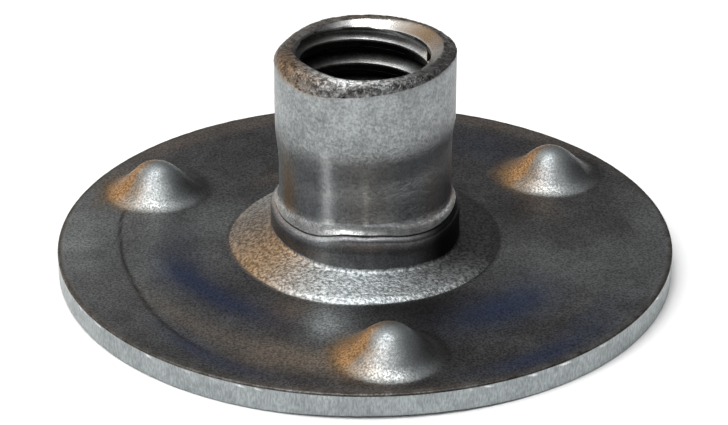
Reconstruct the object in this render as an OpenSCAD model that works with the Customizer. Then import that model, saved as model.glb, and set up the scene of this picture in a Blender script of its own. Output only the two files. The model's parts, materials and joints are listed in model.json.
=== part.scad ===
// Round-base projection weld nut, cold formed from one piece of mild steel.
// A thin round flange carries a tall tapped barrel and three weld projections.
// Frame: millimetres, +Z along the tapped bore toward its mouth, origin in the
// middle of the flat underside of the flange.

/* [Flange] */
// Diameter of the round flange
flange_d = 38.1; // [37:0.1:46]
// Thickness of the flange
flange_t = 1.6; // [1.2:0.05:2.4]
// Radius rolled onto the upper edge of the rim by the blanking die
rim_round = 0.15; // [0.05:0.05:0.4]
// Size of the small bevel on the lower edge of the rim
rim_bevel = 0.15; // [0.05:0.05:0.3]

/* [Barrel] */
// Outside diameter of the barrel at its head
barrel_d = 11; // [10.8:0.1:12.6]
// Overall height, from the underside of the flange to the lip
overall_h = 14.3; // [11:0.1:20]
// Radius on the outer edge of the lip
lip_round = 0.6; // [0.2:0.05:0.7]
// How far the waist lies inside the head of the barrel
waist_cut = 0.2; // [0.05:0.05:0.35]
// Height above the flange at which the head starts to taper
taper_top_h = 8; // [6.5:0.1:8.7]
// Height above the flange at which the taper has come down to the waist
taper_foot_h = 5.3; // [4.5:0.1:6.3]

/* [Tapped bore] */
// Minor diameter of the tapped bore
bore_d = 7.94; // [7.5:0.02:8.2]
// Diameter of the countersink at the mouth
mouth_d = 8.85; // [8.6:0.05:9.2]
// Included angle of the countersink
mouth_angle = 100; // [82:1:110]
// Radius where the metal was drawn in at the underside of the bore
entry_round = 1.2; // [0.6:0.1:1.8]

/* [Collar] */
// How far the collar at the foot of the barrel stands out from the head
collar_step = 0.35; // [0.25:0.05:0.6]
// Height above the flange at which the flare of the barrel meets the collar
collar_h = 2.6; // [2.2:0.05:3.4]
// Radius on the upper edge of the collar
collar_round = 0.25; // [0.1:0.05:0.3]
// Radius of the flare between the waist and the collar
flare_round = 1.7; // [1:0.1:2.5]

/* [Coined ring] */
// Outside diameter of the coined ring around the collar
ring_d = 17.4; // [16.5:0.1:19.5]
// Height of the coined ring at its outer edge
ring_edge_h = 0.18; // [0.05:0.01:0.3]
// Width of the sloping outer edge of the coined ring
ring_edge_w = 0.35; // [0.1:0.05:0.6]
// Height of the coined ring where it meets the collar
ring_root_h = 0.75; // [0.5:0.05:1.2]
// Radius in the corner between the coined ring and the collar
ring_root_round = 0.3; // [0.1:0.05:0.5]

/* [Weld projections] */
// Number of weld projections, evenly spaced
projection_count = 3; // [2:1:4]
// Diameter of the circle that the projections stand on
projection_circle_d = 29.5; // [28:0.1:30]
// Direction of the first projection
projection_start = 270; // [0:1:359]
// Height of a projection above the flange
projection_h = 2; // [1.2:0.05:2.4]
// Diameter over the skirt of a projection
projection_base_d = 6.8; // [6:0.1:7.6]
// Radius of the rounded tip of a projection
projection_tip_r = 2; // [1.4:0.05:2.3]
// Radius of the skirt in which a projection's flank runs out
projection_skirt_r = 0.6; // [0.3:0.05:0.9]

/* [Punch marks under the projections] */
// Depth of the mark that the punch leaves in the underside
punch_depth = 1.9; // [0.9:0.05:2.2]
// Radius of the nose of the punch
punch_nose_r = 1.3; // [0.8:0.05:1.4]
// Draft of the punch, measured from its axis
punch_draft = 20; // [10:1:30]

/* [Hidden] */
$fn = 144;

// Reach of a cutter past the face that it cuts
over = 1;
// How far a projection's skirt reaches into the flange, so that the two surfaces cross
skirt_sink = 0.04;

flange_r = flange_d / 2;
barrel_r = barrel_d / 2;
bore_r = bore_d / 2;
mouth_r = mouth_d / 2;
mouth_depth = (mouth_r - bore_r) / tan(mouth_angle / 2);
waist_r = barrel_r - waist_cut;
collar_r = barrel_r + collar_step;
collar_top = flange_t + collar_h;
flare_w = collar_r - collar_round - waist_r;
flare_top = collar_top + sqrt(2 * flare_round * flare_w - flare_w * flare_w);
ring_r = ring_d / 2;
ring_root_z = flange_t + ring_root_h;
ring_edge_z = flange_t + ring_edge_h;
ring_slope = atan2(ring_root_h - ring_edge_h, ring_r - ring_edge_w - collar_r);

// Rectangle in the section plane, from one corner to the opposite one
module block(r0, z0, r1, z1) {
    translate([r0, z0]) square([r1 - r0, z1 - z0]);
}

// Waste outside a rounded upper outer corner whose sharp corner would be at (r, z)
module corner_waste(r, z, round_r) {
    translate([r - round_r, z - round_r]) difference() {
        square(round_r + over);
        circle(round_r);
    }
}

// Half section of the flange disc
module flange_section() {
    difference() {
        block(0, 0, flange_r, flange_t);
        corner_waste(flange_r, flange_t, rim_round);
        polygon([[flange_r - rim_bevel, 0], [flange_r, rim_bevel],
                 [flange_r + over, rim_bevel], [flange_r + over, -over],
                 [flange_r - rim_bevel, -over]]);
    }
}

// Half section of the coined ring, a shallow cone that climbs to the collar and
// runs up it with a small fillet
module ring_section() {
    fillet_c = [collar_r + ring_root_round,
                ring_root_z + ring_root_round * (1 - sin(ring_slope)) / cos(ring_slope)];
    fillet_end = fillet_c - ring_root_round * [sin(ring_slope), cos(ring_slope)];
    polygon([[0, flange_t / 2], [ring_r, flange_t / 2], [ring_r, flange_t],
             [ring_r - ring_edge_w, ring_edge_z], [collar_r, ring_root_z], [0, ring_root_z]]);
    difference() {
        polygon([[0, ring_root_z], [collar_r, ring_root_z], fillet_end,
                 [collar_r, fillet_c[1]], [0, fillet_c[1]]]);
        translate(fillet_c) circle(ring_root_round);
    }
}

// Half section of the barrel: its head tapers to a waist, then flares out to the collar
module barrel_section() {
    taper_top = flange_t + taper_top_h;
    taper_foot = flange_t + taper_foot_h;
    difference() {
        polygon([[0, 0], [waist_r, 0], [waist_r, taper_foot], [barrel_r, taper_top],
                 [barrel_r, overall_h], [0, overall_h]]);
        corner_waste(barrel_r, overall_h, lip_round);
    }
    difference() {
        block(0, 0, collar_r - collar_round, flare_top);
        translate([waist_r + flare_round, flare_top]) circle(flare_round);
    }
    difference() {
        block(0, 0, collar_r, collar_top);
        corner_waste(collar_r, collar_top, collar_round);
    }
}

// Half section of everything that is cut out along the axis
module bore_section() {
    block(0, -over, bore_r, overall_h + over);
    polygon([[0, overall_h - mouth_depth], [bore_r, overall_h - mouth_depth], [mouth_r, overall_h],
             [mouth_r, overall_h + over], [0, overall_h + over]]);
    difference() {
        block(0, -over, bore_r + entry_round, entry_round);
        translate([bore_r + entry_round, entry_round]) circle(entry_round);
    }
}

// Weld projection: a rounded tip with a straight flank that runs out in a small skirt.
// The flank is tangent to both arcs, which sets its slope.
module projection() {
    base_r = projection_base_d / 2;
    tip_z = projection_h + skirt_sink - projection_tip_r;
    rise = projection_skirt_r - tip_z;
    slope = asin((projection_tip_r + projection_skirt_r) / norm([base_r, rise]))
            - atan2(rise, base_r);
    shoulder = [projection_tip_r * sin(slope), tip_z + projection_tip_r * cos(slope)];
    foot = [base_r - projection_skirt_r * sin(slope), projection_skirt_r * (1 - cos(slope))];
    translate([0, 0, flange_t - skirt_sink]) rotate_extrude() {
        polygon([[0, -flange_t / 4], [foot[0], -flange_t / 4], foot, shoulder, [0, shoulder[1]]]);
        difference() {
            polygon([[foot[0], -flange_t / 4], [base_r, -flange_t / 4], [base_r, 0], foot]);
            translate([base_r, projection_skirt_r]) circle(projection_skirt_r);
        }
        intersection() {
            translate([0, tip_z]) circle(projection_tip_r);
            polygon([[0, shoulder[1]], shoulder, [projection_tip_r, tip_z + projection_tip_r],
                     [0, tip_z + projection_tip_r]]);
        }
    }
}

// Mark that the punch leaves in the underside as it pushes a projection up
module punch_mark() {
    nose_z = punch_depth - punch_nose_r;
    shoulder = [punch_nose_r * cos(punch_draft), nose_z + punch_nose_r * sin(punch_draft)];
    open_r = shoulder[0] + (shoulder[1] + over) * tan(punch_draft);
    rotate_extrude() {
        polygon([[0, -over], [open_r, -over], shoulder, [0, shoulder[1]]]);
        intersection() {
            translate([0, nose_z]) circle(punch_nose_r);
            block(0, 0, punch_nose_r, punch_depth);
        }
    }
}

// Puts its child at each weld projection
module at_projections() {
    for (i = [0 : projection_count - 1])
        rotate(projection_start + i * 360 / projection_count)
            translate([projection_circle_d / 2, 0, 0]) children();
}

module weld_nut() {
    color([0.47, 0.48, 0.50]) difference() {
        union() {
            rotate_extrude() {
                flange_section();
                ring_section();
                barrel_section();
            }
            at_projections() projection();
        }
        rotate_extrude() bore_section();
        at_projections() punch_mark();
    }
}

weld_nut();
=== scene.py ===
"""Looks of the round-base weld nut: one cold-formed steel piece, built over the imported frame."""
import json
import math

import bpy
import numpy as np
from mathutils import Matrix, Vector


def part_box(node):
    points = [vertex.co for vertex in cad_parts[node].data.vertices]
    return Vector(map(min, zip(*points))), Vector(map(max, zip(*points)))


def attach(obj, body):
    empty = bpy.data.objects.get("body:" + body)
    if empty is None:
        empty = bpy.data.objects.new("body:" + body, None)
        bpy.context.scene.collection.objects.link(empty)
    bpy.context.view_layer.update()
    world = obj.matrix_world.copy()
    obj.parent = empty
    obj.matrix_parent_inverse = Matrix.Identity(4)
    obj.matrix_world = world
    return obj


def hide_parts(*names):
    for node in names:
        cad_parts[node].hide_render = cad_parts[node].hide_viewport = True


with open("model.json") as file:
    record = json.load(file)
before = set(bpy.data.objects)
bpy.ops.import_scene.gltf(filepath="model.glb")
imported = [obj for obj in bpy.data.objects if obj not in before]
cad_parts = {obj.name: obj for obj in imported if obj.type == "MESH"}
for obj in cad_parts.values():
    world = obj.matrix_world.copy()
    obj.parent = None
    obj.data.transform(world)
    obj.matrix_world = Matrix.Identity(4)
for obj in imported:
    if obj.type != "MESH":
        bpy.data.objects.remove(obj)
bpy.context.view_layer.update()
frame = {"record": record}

MM = 0.001

# ---------------------------------------------------------------- sizes, in mm, from the frame
low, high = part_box("weld_nut")
mounts = {m["name"]: m for m in frame["record"]["mounts"]}
RIM_R = (high.x - low.x) / 2 / MM
HEIGHT = (high.z - low.z) / MM
MINOR_R = mounts["thread"]["dims"]["r_mm"]
COLLAR_R = mounts["pilot_collar"]["dims"]["r_mm"]
DOME_TOP = mounts["weld_projections"]["pos_m"][2] / MM

# ---------------------------------------------------------------- driving sizes, in mm
FLANGE_T = 1.6
HEAD_R, WAIST_R = 5.5, 5.3
FLARE_TOP, FLARE_R, FLARE_ROUND = 5.16, 5.6, 1.7
COLLAR_ROUND = 0.25
MAJOR_R, PITCH = 4.7625, 1.5875
MOUTH_R, MOUTH_ANGLE = 4.425, 100
ENTRY_ROUND = 1.2
LIP_DROP = 0.02                         # fall of the lip's flat top, from the mouth's edge to its crest
FOLD, FOLD_AT_FRONT = 0.02, 0.06        # how far the collar's top is folded in under the flare
FOLD_DROPS = (0.07, 0.13)               # and where, below the flare's edge
SHOULDER_DROP = 0.2                     # from the flare's edge to the collar's shoulder
RING_EDGE_W, RING_FILLET = 0.35, 0.22
PROJECTIONS = (270, 30, 150)            # azimuths, degrees
PITCH_R, DOME_BASE_R, DOME_TIP_R, DOME_SKIRT_R, DOME_SINK = 14.75, 3.6, 1.85, 1.75, 0.03
PUNCH_DEPTH, PUNCH_R, PUNCH_DRAFT = 1.9, 1.3, 20
HALF = 3.9                              # half width of the mesh patch round a projection
BARE_IN, BARE_OUT = 3.0, 3.4            # where the bare metal of a projection ends
DIE_LINE_W = 0.13                       # width of the line that the blanking die left
CREST_FLAT, ROOT_FLAT = 0.3, 0.125      # flats of the thread, as shares of a pitch
THREAD_STEPS = (-0.15, -0.05, 0.05, 0.15, 0.245, 0.34, 0.4375, 0.5625, 0.66, 0.755)     # its rows, likewise
RIDGE_AZ, RIDGE_Z = 90, 12.95           # one point in the middle of the thread's crest
RUN_OUT_GAP, RUN_OUT_SWING, RUN_OUT_AZ = 0.47, 0.40, 150    # where the thread ends, below the mouth
RUN_OUT_SLOPE, RUN_IN_SLOPE = 1.1, 0.7  # how fast its depth grows from there, and from the entry
THREAD_WAVER = 0.0012                   # unevenness of its radius, as a share
THREAD_CLEAR = 0.012                    # gap between its first and last rows and the section's

rng = np.random.default_rng(38)
LATTICE = rng.random((64, 64, 64))


def smooth(a, b, x):
    """0 below a, 1 above b, with a smooth step between them."""
    t = np.clip((x - a) / (b - a), 0, 1)
    return t * t * (3 - 2 * t)


def noise(p, cell, shift=0.0):
    """Smooth value noise from -1 to 1 at the points p, with cells of that size (one or three numbers)."""
    q = p / np.asarray(cell, float) + 17.31 + shift * 7.77
    i = np.floor(q).astype(int)
    f = q - i
    f = f * f * (3 - 2 * f)
    total = 0.0
    for dx in (0, 1):
        for dy in (0, 1):
            for dz in (0, 1):
                w = abs(1 - dx - f[..., 0]) * abs(1 - dy - f[..., 1]) * abs(1 - dz - f[..., 2])
                cell_value = LATTICE[(i[..., 0] + dx) % 64, (i[..., 1] + dy) % 64, (i[..., 2] + dz) % 64]
                total = total + w * cell_value
    return total * 2 - 1


def near(az, centre, width):
    """1 at the azimuth centre, falling to 0 over about width degrees on both sides."""
    d = (az - centre + 180) % 360 - 180
    return np.exp(-(d / width) ** 2)


def around(az, pairs, width=7):
    """A size that varies round the axis: (azimuth, size) pairs, smoothed over width degrees."""
    every = np.arange(360)
    fine = np.interp(every, *zip(*pairs), period=360)
    kernel = near(every, 0, width)
    fine = np.real(np.fft.ifft(np.fft.fft(fine) * np.fft.fft(kernel / kernel.sum())))
    return np.interp(az, every, fine, period=360)


# sizes that the forming left uneven round the axis: pairs of azimuth in degrees and size in mm
MOUTH_EDGE = [(-4, 4.69), (14, 4.85), (29, 4.94), (42, 4.96), (58, 4.78), (70, 4.62), (81, 4.47), (97, 4.44),
              (110, 4.36), (127, 4.15), (145, 4.07), (162, 4.23), (178, 4.40), (-168, 4.33), (-152, 4.26),
              (-133, 4.38), (-114, 4.71), (-99, 4.76), (-85, 4.68), (-69, 4.64), (-50, 4.52), (-27, 4.53)]
CREST = [(-160, 4.75), (-135, 4.85), (-100, 4.88), (-60, 4.95), (-25, 5.15), (15, 5.1), (40, 5.18),
         (90, 5.18), (115, 5.0), (133, 4.65), (150, 4.4), (178, 4.55)]
LIP_H = [(-168, 0.58), (-155, 0.78), (-146, 0.91), (-140, 1.02), (-128, 1.05), (-117, 0.93), (-108, 0.84),
         (-99, 0.75), (-86, 0.62), (-74, 0.50), (-63, 0.45), (-52, 0.34), (-39, 0.18), (-26, 0.04), (0, 0.1),
         (40, 0.35), (90, 0.37), (115, 0.4), (133, 0.75), (150, 1.05), (170, 0.8)]
EDGE_ROUND = [(-95, 0.15), (-20, 0.08), (85, 0.03), (175, 0.1)]
EDGE_BEVEL = [(-140, 0.1), (-117, 0.03), (-95, 0.25), (-80, 0.18), (-60, 0.02), (-35, 0.02), (0, 0.1),
              (85, 0.15), (175, 0.15)]
TAPER_TOP = [(175, 9.7), (-95, 9.5), (-5, 9.8)]
TAPER_FOOT = [(175, 6.7), (-140, 6.9), (-95, 7.5), (-40, 8.4), (-5, 8.8), (85, 7.6)]
FLARE_EDGE = [(-173, 4.45), (-160, 4.17), (-135, 4.06), (-124, 4.16), (-108, 4.58), (-84, 4.52), (-70, 4.25),
              (-50, 4.09), (-31, 4.2), (-15, 4.4), (85, 4.2)]
COLLAR_FOOT = [(-179, 2.86), (-157, 2.74), (-140, 2.6), (-120, 2.42), (-83, 2.33), (-57, 2.18), (-39, 1.98),
               (-16, 2.0), (85, 2.5)]
RING_EDGE = [(179, 8.46), (-160, 8.44), (-142, 8.56), (-125, 8.9), (-112, 8.95), (-89, 8.76), (-60, 8.7),
             (-30, 8.42), (-5, 8.2), (13, 8.3), (85, 8.5), (147, 8.3)]
RING_EDGE_H = [(175, 0.2), (-120, 0.2), (-80, 0.16), (-20, 0.1), (85, 0.15)]
DIE_R = [(165, 15.6), (177, 15.15), (-172, 15.08), (-158, 15.28), (-145, 15.95), (-130, 16.8), (-118, 17.6)]

# ---------------------------------------------------------------- columns: finer across each projection
CELLS, GAP = 40, 84
half_deg = math.degrees(HALF / PITCH_R)
az_list, patch_first = [], []
for a in PROJECTIONS:
    patch_first.append(len(az_list))
    az_list += list(np.linspace(a - half_deg, a + half_deg, CELLS, endpoint=False))
    az_list += list(np.linspace(a + half_deg, a - half_deg + 120, GAP, endpoint=False))
AZ = np.array(az_list)
COLS = len(AZ)
COS, SIN = np.cos(np.radians(AZ)), np.sin(np.radians(AZ))

# ---------------------------------------------------------------- rows: one closed section, mouth to bore
# each t is the share of a stretch or the angle along a round
rows, zones = [], []                      # each row is (r, z) per column


def add(zone, r, z):
    rows.append((np.broadcast_to(r, COLS).astype(float), np.broadcast_to(z, COLS).astype(float)))
    zones.append(zone)


def turn(z, az):
    """How many pitches z lies above the crest at that azimuth."""
    return (z - RIDGE_Z) / PITCH - (az - RIDGE_AZ) / 360


def phase(z, az):
    """Place within one pitch, 0 to 1: the crest, the flank facing up, the root, the flank facing down."""
    return (turn(z, az) + CREST_FLAT / 2) % 1.0


def thread_r(z, az):
    """Radius of the bore wall: full thread, run out at the entry and closed up toward the mouth."""
    flank = (1 - CREST_FLAT - ROOT_FLAT) / 2
    corners = [0, CREST_FLAT, CREST_FLAT + flank, 1 - flank, 1]
    depth = np.interp(phase(z, az), corners, [0, 0, 1, 1, 0])
    full = MINOR_R + depth * (MAJOR_R - MINOR_R)
    mouth = HEIGHT - RUN_OUT_GAP + RUN_OUT_SWING * np.cos(np.radians(az - RUN_OUT_AZ))
    run_out = RUN_OUT_SLOPE * np.maximum(mouth - z, 0)
    run_in = RUN_IN_SLOPE * np.maximum(z - ENTRY_ROUND, 0)
    return np.minimum(full, MINOR_R + np.minimum(run_out, run_in))


mouth_depth = (MOUTH_R - MINOR_R) / math.tan(math.radians(MOUTH_ANGLE / 2))
wall_top = HEIGHT - mouth_depth
mouth_edge = around(AZ, MOUTH_EDGE, 9)
for t in np.linspace(0, 1, 7):
    z = wall_top + t * mouth_depth
    cone = MINOR_R + t * (mouth_edge - MINOR_R)
    add("thread" if t == 0 else "chamfer", np.maximum(cone, thread_r(z, AZ)), z)

# lip: a nearly flat top, then an edge that the forming rolled most at the front left
crest_r, lip_h = around(AZ, CREST, 12), around(AZ, LIP_H, 8)
for t in (0.3, 0.65, 1):
    add("lip", mouth_edge + t * (crest_r - mouth_edge), HEIGHT - LIP_DROP * t)
for t in np.radians([12, 24, 36, 48, 58, 68, 78, 90]):
    add("lip", crest_r + (HEAD_R - crest_r) * math.sin(t), HEIGHT - LIP_DROP - lip_h * (1 - math.cos(t)))

# barrel: the head tapers to the waist, which flares out to a sharp edge over the collar
lip_foot = HEIGHT - LIP_DROP - lip_h
taper_top, taper_foot = around(AZ, TAPER_TOP, 20), around(AZ, TAPER_FOOT, 20)
flare_edge = around(AZ, FLARE_EDGE, 5)
for t in (0.03, 0.08, 0.16, 0.24, 0.32, 0.4, 0.48, 0.56, 0.64, 0.72, 0.8, 0.9, 1):
    z = lip_foot + t * (FLARE_TOP - lip_foot)
    add("barrel", WAIST_R + (HEAD_R - WAIST_R) * smooth(taper_foot, taper_top, z), z)
reach = math.sqrt(FLARE_ROUND ** 2 - (FLARE_ROUND - FLARE_R + WAIST_R) ** 2)
for t in (0.35, 0.6, 0.75, 0.88, 1):
    add("barrel" if t < 0.5 else "flare",
        WAIST_R + FLARE_ROUND - math.sqrt(FLARE_ROUND ** 2 - (t * reach) ** 2),
        FLARE_TOP - t * (FLARE_TOP - flare_edge))

# collar: a fold under the flare at the front, a rounded shoulder and a straight wall
fold = FOLD_AT_FRONT * near(AZ, -97, 20) + FOLD
collar_foot = around(AZ, COLLAR_FOOT)
for drop in FOLD_DROPS:
    add("collar", FLARE_R - fold, flare_edge - drop)
for t in np.radians([15, 45, 90]):
    add("collar", COLLAR_R - COLLAR_ROUND * (1 - math.sin(t)),
        flare_edge - SHOULDER_DROP - COLLAR_ROUND * (1 - math.cos(t)))
wall_z = flare_edge - SHOULDER_DROP - COLLAR_ROUND
for t in (0.5, 1):
    add("collar", COLLAR_R, wall_z + t * (collar_foot - wall_z))

# coined ring: a fillet, a shallow cone and a sloping edge
edge_r, edge_h = around(AZ, RING_EDGE), around(AZ, RING_EDGE_H, 20)
root_z = collar_foot - RING_FILLET
for t in np.radians([30, 60, 90]):
    add("ring", COLLAR_R + RING_FILLET * (1 - math.cos(t)), root_z + RING_FILLET * (1 - math.sin(t)))
for t in np.linspace(0, 1, 12)[1:]:
    r0 = COLLAR_R + RING_FILLET
    add("ring", r0 + t * (edge_r - RING_EDGE_W - r0), root_z + t * (FLANGE_T + edge_h - root_z))
for t in (0.35, 0.7, 1):
    add("ring", edge_r - RING_EDGE_W * (1 - t), FLANGE_T + edge_h * (1 - t) ** 1.3)

# flange top
patch_in, patch_out = PITCH_R - HALF, PITCH_R + HALF
for t in (0.12, 0.35, 0.65):
    add("flange", edge_r + t * (patch_in - edge_r), FLANGE_T)
TOP_PATCH = len(rows)
for k in range(CELLS + 1):
    add("flange", patch_in + 2 * HALF * k / CELLS, FLANGE_T)

# rim
edge_round, edge_bevel = around(AZ, EDGE_ROUND, 15), around(AZ, EDGE_BEVEL, 8)
for t in np.radians([0, 30, 60, 90]):
    add("edge", RIM_R - edge_round * (1 - math.sin(t)), FLANGE_T - edge_round * (1 - math.cos(t)))
for t in (0.08, 0.16, 0.26, 0.5, 0.75, 1):
    add("rim", RIM_R, FLANGE_T - edge_round - t * (FLANGE_T - edge_round - edge_bevel))
for t in (0.5, 1):
    add("rim", RIM_R - edge_bevel * t, edge_bevel * (1 - t))

# underside
UNDER_PATCH = len(rows)
for k in range(CELLS + 1):
    add("under", patch_out - 2 * HALF * k / CELLS, 0)
for t in (0.2, 0.4, 0.6, 0.8):
    add("under", patch_in + t * (MINOR_R + ENTRY_ROUND - patch_in), 0)
for t in np.radians([0, 18, 36, 54, 72, 90]):
    add("entry" if t else "under", MINOR_R + ENTRY_ROUND * (1 - math.sin(t)), ENTRY_ROUND * (1 - math.cos(t)))

R = np.array([r for r, _ in rows])
Z = np.array([z for _, z in rows])
P = np.stack([R * COS, R * SIN, Z], axis=-1)
ROWS = len(rows)
zone_of = np.array(zones)

# ---------------------------------------------------------------- projections and punch marks
dome_h = DOME_TOP - FLANGE_T + DOME_SINK
tip_z = dome_h - DOME_TIP_R
rise = DOME_SKIRT_R - tip_z
slope = (math.asin((DOME_TIP_R + DOME_SKIRT_R) / math.hypot(DOME_BASE_R, rise))
         - math.atan2(rise, DOME_BASE_R))
shoulder_d = DOME_TIP_R * math.sin(slope)
shoulder_h = tip_z + DOME_TIP_R * math.cos(slope)
foot_d = DOME_BASE_R - DOME_SKIRT_R * math.sin(slope)


def dome(d):
    """Height of a projection over the flange at the distance d from its middle: tip, flank and skirt."""
    tip = tip_z + np.sqrt(np.maximum(DOME_TIP_R ** 2 - d ** 2, 0))
    flank = shoulder_h - (d - shoulder_d) * math.tan(slope)
    skirt = DOME_SKIRT_R - np.sqrt(np.maximum(DOME_SKIRT_R ** 2 - (d - DOME_BASE_R) ** 2, 0))
    height = np.where(d < shoulder_d, tip, np.where(d < foot_d, flank, np.where(d < DOME_BASE_R, skirt, 0)))
    return np.maximum(height - DOME_SINK, 0)


def punch(d):
    """Height of the punched hollow in the underside."""
    nose_z = PUNCH_DEPTH - PUNCH_R
    draft = math.radians(PUNCH_DRAFT)
    shoulder_r, shoulder_z = PUNCH_R * math.cos(draft), nose_z + PUNCH_R * math.sin(draft)
    nose = nose_z + np.sqrt(np.maximum(PUNCH_R ** 2 - d ** 2, 0))
    wall = shoulder_z - (d - shoulder_r) / math.tan(draft)
    return np.maximum(np.where(d < shoulder_r, nose, wall), 0)


dome_mask = np.zeros((ROWS, COLS))
cells = np.arange(CELLS + 1)
U, V = np.meshgrid(cells / (CELLS / 2) - 1, cells / (CELLS / 2) - 1, indexing="ij")
rho = np.maximum(abs(U), abs(V))
with np.errstate(divide="ignore", invalid="ignore"):
    phi = np.where(abs(U) >= abs(V), np.pi / 4 * V / U + np.where(U < 0, np.pi, 0),
                   np.pi / 2 * np.sign(V) - np.pi / 4 * U / V)
phi = np.nan_to_num(phi)
blend = (1 - smooth(0.88, 1.0, rho))[..., None]
for a, first in zip(PROJECTIONS, patch_first):
    out = np.array([math.cos(math.radians(a)), math.sin(math.radians(a))])
    side = np.array([-out[1], out[0]])
    cols = (first + cells) % COLS
    for start, flip, height in ((TOP_PATCH, 1, dome), (UNDER_PATCH, -1, punch)):
        block = np.ix_(start + cells, cols)
        square = P[block][..., :2]
        disc = PITCH_R * out + HALF * rho[..., None] * (flip * np.cos(phi)[..., None] * out
                                                        + np.sin(phi)[..., None] * side)
        xy = square + blend * (disc - square)
        d = np.linalg.norm(xy - PITCH_R * out, axis=-1)
        P[block[0], block[1], :2] = xy
        P[block[0], block[1], 2] += height(d)
        if start == TOP_PATCH:
            dome_mask[block] = 1 - smooth(BARE_IN, BARE_OUT, d)

# ---------------------------------------------------------------- surface relief, along the normal
down = np.roll(P, -1, 0) - np.roll(P, 1, 0)
round_ = np.roll(P, -1, 1) - np.roll(P, 1, 1)
N = np.cross(down, round_)
N /= np.linalg.norm(N, axis=-1, keepdims=True) + 1e-12


def at(*names):
    return np.isin(zone_of, names)[:, None].astype(float)


az_now = np.degrees(np.arctan2(P[..., 1], P[..., 0]))
r_now = np.hypot(P[..., 0], P[..., 1])
z_now = P[..., 2]
flange = at("flange")
on_dome, flat = flange * dome_mask, flange * (1 - dome_mask)

# distance from the nearest projection's middle, and azimuth round it
middle_az = np.radians(PROJECTIONS)
apart = P[..., None, :2] - PITCH_R * np.stack([np.cos(middle_az), np.sin(middle_az)], axis=1)
nearest = np.linalg.norm(apart, axis=-1).argmin(-1)
apart = np.take_along_axis(apart, nearest[..., None, None], axis=-2)[..., 0, :]
dome_d = np.linalg.norm(apart, axis=-1)
dome_az = np.degrees(np.arctan2(apart[..., 1], apart[..., 0]))

# the blanking die left a shallow step in the flange, from the left projection round toward the front
from_die = r_now - around(az_now, DIE_R)
die_line = np.exp(-(from_die / DIE_LINE_W) ** 2)
die_step = smooth(-0.1, 0.15, from_die)
turned = (az_now + 360) % 360
die_reach = smooth(140, 165, turned) * (1 - smooth(222, 244, turned))

relief = at("lip") * (0.028 * noise(P, 0.30) + 0.020 * noise(P, 0.14, 1))
relief += at("barrel") * (0.008 * noise(P, (1.6, 1.6, 6)) + 0.006 * noise(P, 1.1, 2))
relief += at("flare") * 0.016 * noise(P, (0.35, 0.35, 0.3), 3)
relief += at("ring") * (0.016 * noise(P, 0.32, 4) + 0.010 * noise(P, 0.7, 5))
relief += flat * 0.010 * noise(P, 3.0, 6) - flat * die_reach * (0.03 * die_line + 0.015 * die_step)
relief += on_dome * (0.020 * noise(P, 0.9, 31) + 0.010 * noise(P, 0.42, 32))
relief += at("edge") * (R < RIM_R - 1e-6) * (0.012 * noise(P, (0.4, 0.4, 1.5), 9) - 0.012)
burr = at("rim") * (Z > FLANGE_T - 0.30) * smooth(0.30, 0.75, noise(P, (0.32, 0.32, 0.2), 10))
relief -= at("rim") * 0.014 * (1 + noise(P, (0.35, 0.35, 1.2), 11)) * (1 - burr)
P += N * relief[..., None]
P[..., 2] = np.clip(P[..., 2], 0, HEIGHT)
P[..., :2] /= np.maximum(np.hypot(P[..., 0], P[..., 1]) / RIM_R, 1)[..., None]

# ---------------------------------------------------------------- the mesh: rows, then the thread in the bore
verts = [P.reshape(-1, 3)]
index = np.arange(ROWS * COLS).reshape(ROWS, COLS)
quads, quad_zone = [], []
for i in range(ROWS - 1):
    upper, lower = index[i], index[i + 1]
    quads.append(np.stack([upper, lower, np.roll(lower, -1), np.roll(upper, -1)], axis=1))
    quad_zone += [zones[i + 1]] * COLS

first_turn = math.floor(turn(ENTRY_ROUND, AZ[0])) - 2
last_turn = math.ceil(turn(wall_top, AZ[0])) + 1
lines = np.array([n + s for n in range(first_turn, last_turn) for s in THREAD_STEPS])
zz = RIDGE_Z + PITCH * (lines[None, :] + (AZ[:, None] - RIDGE_AZ) / 360)
below = zz <= ENTRY_ROUND + THREAD_CLEAR
inside = ~below & (zz < wall_top - THREAD_CLEAR)
tid = np.where(below, index[-1][:, None], index[0][:, None])
count = int(inside.sum())
tid[inside] = ROWS * COLS + np.arange(count)
az2 = np.broadcast_to(AZ[:, None], zz.shape)
rr = thread_r(zz, az2)
T = np.stack([rr * np.cos(np.radians(az2)), rr * np.sin(np.radians(az2)), zz], axis=-1)
T[..., :2] *= (1 + THREAD_WAVER * noise(T, 0.4, 12))[..., None]
verts.append(T[inside])
per_turn = len(THREAD_STEPS)
nxt = np.vstack([tid[1:], np.concatenate([tid[0][per_turn:], np.repeat(index[0][0], per_turn)])[None]])
tquads = np.stack([tid[:, :-1], tid[:, 1:], nxt[:, 1:], nxt[:, :-1]], axis=-1).reshape(-1, 4)
faces = [list(map(int, q)) for q in np.concatenate(quads)]
for q in tquads:
    corners = list(dict.fromkeys(map(int, q)))
    if len(corners) > 2:
        faces.append(corners)
        quad_zone.append("thread")

co = np.concatenate(verts) * MM
mesh = bpy.data.meshes.new("nut_steel")
mesh.from_pydata(co.tolist(), [], faces)
mesh.validate(verbose=True)
piece = bpy.data.objects.new("nut_steel", mesh)
bpy.context.scene.collection.objects.link(piece)


def store(name, on_rows, on_thread=0.0):
    on_thread = np.broadcast_to(on_thread, count)
    values = np.concatenate([np.asarray(on_rows, float).reshape(-1), on_thread])
    mesh.attributes.new(name, "FLOAT", "POINT").data.foreach_set("value", values.astype(np.float32))


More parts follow.
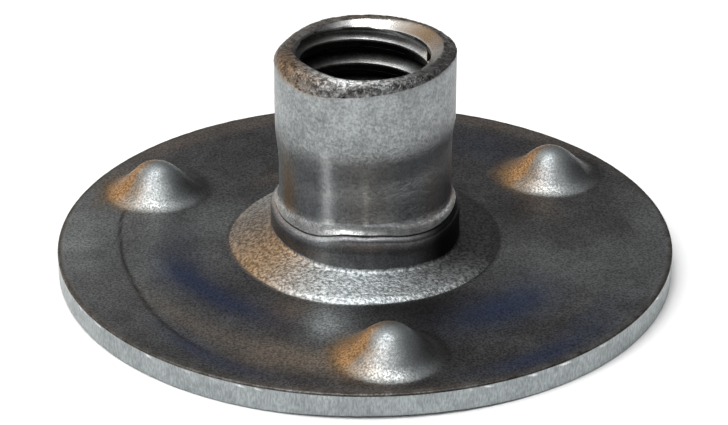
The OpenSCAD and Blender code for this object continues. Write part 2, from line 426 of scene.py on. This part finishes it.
# tints as smooth fields over the surface: stains left by heat, oil and handling, and painted highlights,
# reflections and shade
FLANGE_SPOTS = {                          # strength, azimuth, its width, radius, its width
    "brown_stain_and_reflection": [(0.95, -106, 15, 15.9, 1.4), (0.7, -121, 7, 10.4, 1.5), (0.5, -128, 20, 14.9, 0.9),
              (0.35, -148, 10, 15.0, 0.7), (0.3, 14, 10, 12.0, 1.2), (0.35, 122, 9, 9.9, 0.9)],
    "blue": [(1.1, -148, 28, 11.8, 1.05), (0.6, -167, 12, 13.0, 0.9), (1.15, -53, 17, 12.2, 1.7),
             (0.9, -57, 15, 17.8, 0.8), (0.4, -42, 10, 16.6, 0.5), (0.6, 51, 11, 14.8, 1.7),
             (0.4, 176, 12, 11.4, 0.9)],
    # the pale spot at -106 is a painted reflection
    "pale_and_highlight": [(0.30, -172, 24, 9.6, 0.9), (1.0, -106, 7, 11.1, 2.0)],
    # the dark spot at -78 is a painted shadow beside the coined ring
    "shade_and_dark_marks": [(0.4, -78, 26, 9.6, 1.2), (0.2, 20, 30, 9.6, 1.0), (0.3, 49, 14, 15.0, 1.3)],
}
FLANGE_ZONES = {                          # strength, azimuth, its width, and the radii where it sets in
    "brown_stain_and_reflection": [(0.35, -95, 18, 17.6, 18.6), (0.45, 120, 42, 16.5, 18.2), (0.45, 55, 25, 17.0, 18.3)],
    "pale_and_highlight": [(0.34, -173, 33, 12.2, 13.6), (0.3, 2, 13, 16, 17.6), (0.35, -180, 12, 16.2, 17.6),
              (0.30, -22, 19, 0, 1), (0.28, 163, 20, 0, 1)],
}


def round_axis(*pairs):
    """A sum of (strength, azimuth, width) patches round the axis."""
    return sum(strength * near(az_now, az, width) for strength, az, width in pairs)


def on_flange(which):
    """All spots and zones of that tint on the flat of the flange."""
    total = 0.0
    for strength, az, width, r, r_width in FLANGE_SPOTS.get(which, ()):
        total = total + strength * near(az_now, az, width) * np.exp(-((r_now - r) / r_width) ** 2)
    for strength, az, width, inner, outer in FLANGE_ZONES.get(which, ()):
        total = total + strength * near(az_now, az, width) * smooth(inner, outer, r_now)
    return flat * total


def round_dome(inner, outer, fade_in, fade_out):
    """A ring round each projection, from the distances inner to outer and out by fade_in to fade_out."""
    return smooth(inner, outer, dome_d) * (1 - smooth(fade_in, fade_out, dome_d))


brown_stain_and_reflection = on_flange("brown_stain_and_reflection") * (0.8 + 0.45 * noise(P, 2.2, 20))
# on the ring's left and low on the barrel's left side the brown is a painted warm reflection
brown_stain_and_reflection += at("ring") * round_axis((0.85, -152, 27), (0.3, 170, 30))
brown_stain_and_reflection += at("barrel") * (round_axis((0.9, -157, 9)) * smooth(9.6, 6.5, z_now)
                         + round_axis((0.35, -45, 9)) * smooth(9.0, 7.0, z_now))
brown_stain_and_reflection += at("lip") * round_axis((0.85, -165, 32), (0.5, 75, 60))
brown_stain_and_reflection += at("chamfer") * round_axis((0.9, 28, 30))

by_die = near(az_now, -128, 14) * np.exp(-((from_die - 0.25) / 0.6) ** 2)
blue = (on_flange("blue") + flat * 1.05 * by_die) * (0.85 + 0.45 * noise(P, 2.6, 21))

# pale patches on the flange, and painted highlights: a crescent at each projection's front foot, the coined
# ring's front, the mouth's front edge, streaks down the barrel and collar, and glints on the rim's burrs
from_edge = r_now - around(az_now, MOUTH_EDGE, 9)
pale_and_highlight = on_flange("pale_and_highlight") * (1 + 0.35 * noise(P, (1.3, 1.3, 9), 24))
pale_and_highlight += at("ring") * round_axis((0.68, -100, 24))
pale_and_highlight += flange * 0.9 * round_dome(2.2, 2.6, BARE_IN, BARE_OUT) * near(dome_az, -103, 38)
pale_and_highlight += at("lip") * round_axis((1.6, -103, 34)) * np.exp(-((from_edge - 0.22) / 0.15) ** 2)
pale_and_highlight += at("barrel") * (round_axis((1.0, -120.5, 4)) * smooth(10.5, 8.0, z_now)
                         + round_axis((0.35, -95, 1.8)) * smooth(8.6, 6.8, z_now)
                         + round_axis((0.9, -11, 2.5)) * np.exp(-((z_now - 7.2) / 1.4) ** 2))
pale_and_highlight += at("collar") * round_axis((0.7, -121, 6)) + burr

# painted shade on the right sides of the ring, collar, lip, barrel and projections and on the chamfer's left;
# a painted reflection of the dark flange low on the barrel; darker spots on the flange and at the ring's and
# lip's back left; and a dark line along the die's step
right_side = smooth(-95, -60, az_now) * (1 - smooth(20, 90, az_now))
below_head = smooth(10.2, 7.6, z_now - 0.9 * np.cos(np.radians(az_now + 45)))
shade_and_dark_marks = on_flange("shade_and_dark_marks") + flat * die_reach * 0.9 * die_line
shade_and_dark_marks += at("chamfer") * round_axis((0.7, 172, 52))
shade_and_dark_marks += at("lip") * round_axis((0.8, -25, 55), (0.45, 165, 40))
shade_and_dark_marks += at("ring") * (0.95 * smooth(-75, -22, az_now) * (1 - smooth(30, 110, az_now))
                      + round_axis((0.35, 175, 25)))
shade_and_dark_marks += at("barrel") * (round_axis((0.6, -12, 18)) * smooth(8.5, 6.5, z_now)
                        + 0.28 * right_side * smooth(8.5, 10, z_now))
shade_and_dark_marks += at("barrel") * below_head * (1 - near(az_now, -119, 9)) * (
    0.15 + 0.6 * smooth(-100, -20, az_now) * near(az_now, -30, 60))
shade_and_dark_marks += flange * 0.85 * round_dome(1.0, 2.2, 3.3, 3.9) * near(dome_az, 10, 48)
shade_and_dark_marks += at("collar") * smooth(-72, -40, az_now) * (1 - smooth(60, 120, az_now))

# painted shade darkens the thread, except on its flanks that face up on the right
thread_phase = phase(zz, az2)[inside]
flank_up = smooth(0.20, 0.30, thread_phase) * (1 - smooth(0.46, 0.58, thread_phase))
thread_shade = 1 - flank_up * (1 - 0.85 * near(az2[inside], 178, 78))

# a painted warm reflection beside each projection, on its left and at its back left
back_left = smooth(-0.2, 0.7, apart @ np.array([-0.5, 0.87])) * (1 - smooth(0.4, 1.7, apart[..., 0]))
orange_reflection = flange * (near(dome_az, 182, 50) * round_dome(0.9, 1.9, 3.0, 4.1)
                 + 0.8 * back_left * (1 - smooth(2.2, 3.4, dome_d)))
orange_reflection = orange_reflection * (1.05 + 0.4 * noise(P, 0.7, 23))

# bare metal on the projections, less of it down their right side, which paints shade there
bare = on_dome * (0.95 + 0.2 * noise(P, 0.9, 22))
bare = bare * (1 - 0.8 * smooth(1.0, 2.2, dome_d) * near(dome_az, 25, 60))
for name, field, in_thread in (("brown_stain_and_reflection", brown_stain_and_reflection, 0), ("blue", blue, 0), ("orange_reflection", orange_reflection, 0), ("pale_and_highlight", pale_and_highlight, 0),
                               ("shade_and_dark_marks", shade_and_dark_marks, thread_shade), ("bare", bare, 0)):
    store(name, np.clip(field, 0, 1), in_thread)


# ---------------------------------------------------------------- materials
GRAIN_WIDE, GRAIN_NARROW = (0.3, 0.7), (0.36, 0.64)     # ranges of the grain's noise that are spread out
PATCH_RANGE, PIT_RANGE = (0.35, 0.65), (0.38, 0.56)     # the same for the patches and the pits
PIT_CELL, PIT_DEPTH, PIT_RIM = 0.3, 0.045, 1.15         # mm, mm and a factor on the colour
LINE_CELL, LINE_STRETCH = 0.12, 18                      # fine lines round the barrel, mm and a factor
BARE_CONTRAST, BARE_DULL, TINT_CONTRAST = 0.28, 1.25, 0.8      # factors on the colour and the roughness
# the colours of the tints; the pale, dark and orange ones and part of the brown paint highlights, shade and
# warm reflections
TINTS = {"bare": (0.262, 0.282, 0.288), "brown_stain_and_reflection": (0.30, 0.24, 0.19), "blue": (0.042, 0.058, 0.118),
         "pale_and_highlight": (0.33, 0.35, 0.35), "shade_and_dark_marks": (0.030, 0.027, 0.026), "orange_reflection": (0.30, 0.19, 0.098)}


def steel(name, dark_colour, bright_colour, rough, patch=2.5, grain=0.12, stretch=(1, 1, 1), contrast=0.35,
          bump=0.006, pits=0.0, anisotropic=0.0, tints=None, lines=0.0):
    """Bare steel: patches and tints in its colour, and a fine grain that also sets gloss and relief."""
    m = bpy.data.materials.new(name)
    m.use_nodes = True
    tree = m.node_tree
    node, link = tree.nodes.new, tree.links.new
    shader = tree.nodes["Principled BSDF"]
    shader.inputs["Metallic"].default_value = 1.0
    shader.inputs["Anisotropic"].default_value = anisotropic
    coords = node("ShaderNodeTexCoord")

    def texture(cell, along=(1, 1, 1), detail=3.0, roughness=0.6):
        scale = node("ShaderNodeMapping")
        scale.inputs["Scale"].default_value = [1 / (cell * MM * s) for s in along]
        link(coords.outputs["Object"], scale.inputs["Vector"])
        n = node("ShaderNodeTexNoise")
        n.inputs["Scale"].default_value = 1.0
        n.inputs["Detail"].default_value = detail
        n.inputs["Roughness"].default_value = roughness
        link(scale.outputs["Vector"], n.inputs["Vector"])
        return n.outputs["Fac"]

    def ranged(value, a, b, to_a=0.0, to_b=1.0):
        r = node("ShaderNodeMapRange")
        for key, v in (("From Min", a), ("From Max", b), ("To Min", to_a), ("To Max", to_b)):
            r.inputs[key].default_value = v
        link(value, r.inputs["Value"])
        return r.outputs["Result"]

    def mixed(factor, first, second, kind="MIX"):
        x = node("ShaderNodeMix")
        x.data_type, x.blend_type = "RGBA", kind
        if isinstance(factor, float):
            x.inputs["Factor"].default_value = factor
        else:
            link(factor, x.inputs["Factor"])
        for socket, v in ((x.inputs[6], first), (x.inputs[7], second)):
            if isinstance(v, tuple):
                socket.default_value = (*v, 1)
            else:
                link(v, socket)
        return x.outputs[2]

    def bumped(height, depth, under=None):
        b = node("ShaderNodeBump")
        b.inputs["Strength"].default_value = 1.0
        b.inputs["Distance"].default_value = depth * MM
        link(height, b.inputs["Height"])
        if under is not None:
            link(under, b.inputs["Normal"])
        return b.outputs["Normal"]

    grains = texture(grain, stretch, detail=2.5)
    colour = mixed(ranged(texture(patch, detail=4), *PATCH_RANGE), dark_colour, bright_colour)

    def grainy(base, depth, span=GRAIN_NARROW):
        return mixed(1.0, base, ranged(grains, *span, 1 - depth, 1 + depth), "MULTIPLY")

    colour = grainy(colour, contrast)
    for which, tint in {**TINTS, **(tints or {})}.items():
        n = node("ShaderNodeAttribute")
        n.attribute_name = which
        if which == "bare":
            over = grainy(tint, BARE_CONTRAST, GRAIN_WIDE)
        else:
            over = grainy(tint, contrast * TINT_CONTRAST)
        colour = mixed(n.outputs["Fac"], colour, over)
    normal = bumped(grains, bump)
    if pits:
        hollow = ranged(texture(PIT_CELL, detail=3, roughness=0.65), *PIT_RANGE)
        colour = mixed(1.0, colour, ranged(hollow, 0, 1, 1 - pits, PIT_RIM), "MULTIPLY")
        normal = bumped(hollow, PIT_DEPTH * pits, normal)
    if lines:
        normal = bumped(texture(LINE_CELL, (1, 1, LINE_STRETCH), detail=2), lines, normal)
    link(colour, shader.inputs["Base Color"])
    worn = node("ShaderNodeAttribute")
    worn.attribute_name = "bare"
    dull = ranged(worn.outputs["Fac"], 0, 1, 1, BARE_DULL)
    gloss = node("ShaderNodeMath")
    gloss.operation = "MULTIPLY"
    link(ranged(grains, *GRAIN_WIDE, rough[1], rough[0]), gloss.inputs[0])
    link(dull, gloss.inputs[1])
    link(gloss.outputs["Value"], shader.inputs["Roughness"])
    link(normal, shader.inputs["Normal"])
    return m


# one steel for each zone: its two patch colours, its roughness from and to, then sizes in mm and strengths
MATERIALS = {
    # the flange takes the shared tints: painted highlight crescents, shade and warm reflections round its
    # projections
    "flange": steel("oiled_steel", (0.064, 0.061, 0.062), (0.112, 0.112, 0.116), (0.30, 0.44), patch=2.2,
                    grain=0.13, contrast=0.62, bump=0.012),
    "ring": steel("coined_steel", (0.27, 0.28, 0.283), (0.38, 0.395, 0.40), (0.48, 0.62), patch=1.6,
                  grain=0.2, contrast=0.6, bump=0.075,
                  # the ring's pale tint paints its lit front, its dark tint shade on its right, and its brown
                  # a warm reflection on its left
                  tints={"brown_stain_and_reflection": (0.30, 0.20, 0.112), "pale_and_highlight": (0.60, 0.65, 0.66),
                         "shade_and_dark_marks": (0.038, 0.036, 0.036)}),
    "barrel": steel("burnished_steel", (0.262, 0.278, 0.28), (0.365, 0.39, 0.396), (0.38, 0.5), patch=1.8,
                    grain=0.14, stretch=(1, 1, 1.3), contrast=0.16, bump=0.008, lines=0.004, pits=0.08,
                    anisotropic=0.85,
                    # the barrel's pale tint paints highlight streaks, its dark tint shade and the flange's
                    # dark reflection, and its brown a warm reflection on its left
                    tints={"brown_stain_and_reflection": (0.34, 0.235, 0.145), "pale_and_highlight": (0.85, 0.88, 0.89),
                           "shade_and_dark_marks": (0.12, 0.118, 0.125)}),
    "flare": steel("flare_steel", (0.30, 0.30, 0.30), (0.44, 0.45, 0.45), (0.25, 0.4), patch=0.8, grain=0.12,
                   contrast=0.3, bump=0.012),
    # the collar's colours, darker than the barrel's, paint a dark reflection of the flange, and its dark tint
    # paints shade on its right
    "collar": steel("collar_steel", (0.16, 0.16, 0.165), (0.23, 0.232, 0.24), (0.34, 0.46), patch=1.5,
                    grain=0.13, contrast=0.25, bump=0.006, lines=0.003, anisotropic=0.8,
                    tints={"shade_and_dark_marks": (0.016, 0.016, 0.016)}),
    "lip": steel("lip_steel", (0.13, 0.128, 0.126), (0.34, 0.35, 0.35), (0.28, 0.48), patch=0.7, grain=0.12,
                 contrast=0.4, bump=0.02, pits=0.7,
                 # the lip's pale tint paints a highlight on the mouth's front edge and its dark tint shade on
                 # its right front
                 tints={"brown_stain_and_reflection": (0.27, 0.18, 0.105), "pale_and_highlight": (0.9, 0.92, 0.92),
                        "shade_and_dark_marks": (0.045, 0.04, 0.038)}),
    "chamfer": steel("chamfer_steel", (0.55, 0.54, 0.53), (0.75, 0.77, 0.77), (0.2, 0.34), patch=0.8,
                     grain=0.12, contrast=0.2, bump=0.008, tints={"brown_stain_and_reflection": (0.43, 0.29, 0.165)}),
    "thread": steel("thread_steel", (0.55, 0.54, 0.52), (0.85, 0.87, 0.87), (0.26, 0.38), patch=0.9,
                    # the thread's dark tint paints shade on it, except on the flanks that face up on the
                    # right
                    grain=0.12, contrast=0.3, bump=0.008, tints={"shade_and_dark_marks": (0.025, 0.023, 0.022)}),
    "edge": steel("rim_edge_steel", (0.05, 0.045, 0.04), (0.12, 0.115, 0.11), (0.4, 0.55), patch=0.9,
                  grain=0.12, contrast=0.4, bump=0.01),
    "rim": steel("sheared_steel", (0.27, 0.295, 0.30), (0.34, 0.37, 0.376), (0.34, 0.5), patch=1.2,
                 grain=0.13, contrast=0.18, bump=0.012, stretch=(0.8, 0.8, 2.5),
                 # the rim's pale tint paints glints on its burrs
                 tints={"pale_and_highlight": (0.85, 0.87, 0.87)}),
    "under": steel("under_steel", (0.13, 0.13, 0.14), (0.22, 0.22, 0.225), (0.30, 0.44), patch=3, bump=0.010),
    "entry": steel("entry_steel", (0.25, 0.25, 0.25), (0.36, 0.36, 0.36), (0.26, 0.38), patch=1, bump=0.008),
}
SHARP_ANGLE = 38
order = list(MATERIALS)
for m in MATERIALS.values():
    mesh.materials.append(m)
mesh.polygons.foreach_set("material_index", np.array([order.index(z) for z in quad_zone], np.int32))
mesh.polygons.foreach_set("use_smooth", np.ones(len(mesh.polygons), bool))
mesh.set_sharp_from_angle(angle=math.radians(SHARP_ANGLE))
mesh.update()

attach(piece, "root")
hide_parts("weld_nut")


# ---------------------------------------------------------------- floor
def plain(name, colour, roughness):
    m = bpy.data.materials.new(name)
    m.use_nodes = True
    s = m.node_tree.nodes["Principled BSDF"]
    s.inputs["Base Color"].default_value = (*colour, 1)
    s.inputs["Roughness"].default_value = roughness
    s.inputs["Specular IOR Level"].default_value = 0.1
    return m


FLOOR_SIZE, FLOOR_GAP = 6, 0.02 * MM
bpy.ops.mesh.primitive_plane_add(size=FLOOR_SIZE, location=(0, 0, -FLOOR_GAP))
floor = bpy.context.object
floor.name = "floor"
floor.data.materials.append(plain("floor_paper", (0.95, 0.95, 0.95), 0.9))

# ---------------------------------------------------------------- world and lamps
world = bpy.data.worlds.new("studio")
bpy.context.scene.world = world
world.use_nodes = True
SKY = [(0.0, 0.36), (0.46, 0.38), (0.64, 0.55), (0.80, 0.95), (1.0, 1.0)]   # sine of elevation, brightness
SKY_LEFT, SKY_RIGHT = 1.15, 0.35        # its strength at both sides of the picture
node, link = world.node_tree.nodes.new, world.node_tree.links.new
sky = world.node_tree.nodes["Background"]
direction = node("ShaderNodeSeparateXYZ")
link(node("ShaderNodeTexCoord").outputs["Generated"], direction.inputs["Vector"])
ramp = node("ShaderNodeValToRGB")
link(direction.outputs["Z"], ramp.inputs["Fac"])
while len(ramp.color_ramp.elements) < len(SKY):
    ramp.color_ramp.elements.new(0.5)
for element, (height, value) in zip(ramp.color_ramp.elements, SKY):
    element.position, element.color = height, (value, value, value, 1)
side_fade = node("ShaderNodeMapRange")
for key, v in (("From Min", -1), ("From Max", 1), ("To Min", SKY_LEFT), ("To Max", SKY_RIGHT)):
    side_fade.inputs[key].default_value = v
link(direction.outputs["X"], side_fade.inputs["Value"])
link(ramp.outputs["Color"], sky.inputs["Color"])
link(side_fade.outputs["Result"], sky.inputs["Strength"])


LAMP_AIM_Z = 4 * MM


def toward(azimuth, elevation):
    """Unit vector from the nut in that direction, in degrees."""
    a, e = math.radians(azimuth), math.radians(elevation)
    return Vector((math.cos(a) * math.cos(e), math.sin(a) * math.cos(e), math.sin(e)))


def soft_box(name, azimuth, elevation, distance, size, watts, colour=(1, 1, 1)):
    """A rectangular lamp that looks at the nut from that direction (degrees, metres)."""
    data = bpy.data.lights.new(name, "AREA")
    data.shape, data.size, data.size_y = "RECTANGLE", size[0], size[1]
    data.energy, data.color = watts, colour
    lamp = bpy.data.objects.new(name, data)
    way = toward(azimuth, elevation)
    lamp.location = way * distance + Vector((0, 0, LAMP_AIM_Z))
    lamp.rotation_euler = way.to_track_quat("Z", "Y").to_euler()
    bpy.context.scene.collection.objects.link(lamp)


soft_box("key", -142, 64, 0.45, (0.26, 0.26), 0.75)
soft_box("over", -125, 86, 0.45, (0.20, 0.20), 0.70)
soft_box("strip", -147, 34, 0.45, (0.04, 0.24), 0.34)
soft_box("warm", 132, 24, 0.35, (0.19, 0.19), 0.17, (1.0, 0.78, 0.55))

# ---------------------------------------------------------------- camera, as the photograph was taken
CAMERA_AZ, CAMERA_EL, ROLL = -95.3, 27.28, 0.10                     # degrees
DISTANCE, AIM_Z, AIM_SIDE = 158.3, 3.195, -0.064                    # mm
FOCAL_PX, WIDTH = 2553, 728                                         # focal length and picture width, pixels
back, right = toward(CAMERA_AZ, CAMERA_EL), toward(CAMERA_AZ + 90, 0)
view = bpy.data.cameras.new("camera")
view.sensor_width = 36
view.lens = FOCAL_PX / WIDTH * view.sensor_width
view.clip_start, view.clip_end = 0.01, 20
camera = bpy.data.objects.new("camera", view)
camera.location = (back * DISTANCE + right * AIM_SIDE + Vector((0, 0, AIM_Z))) * MM
camera.rotation_euler = (back.to_track_quat("Z", "Y").to_matrix()
                         @ Matrix.Rotation(math.radians(ROLL), 3, "Z")).to_euler()
bpy.context.scene.collection.objects.link(camera)
bpy.context.scene.camera = camera

bpy.context.scene.view_settings.view_transform = "Standard"
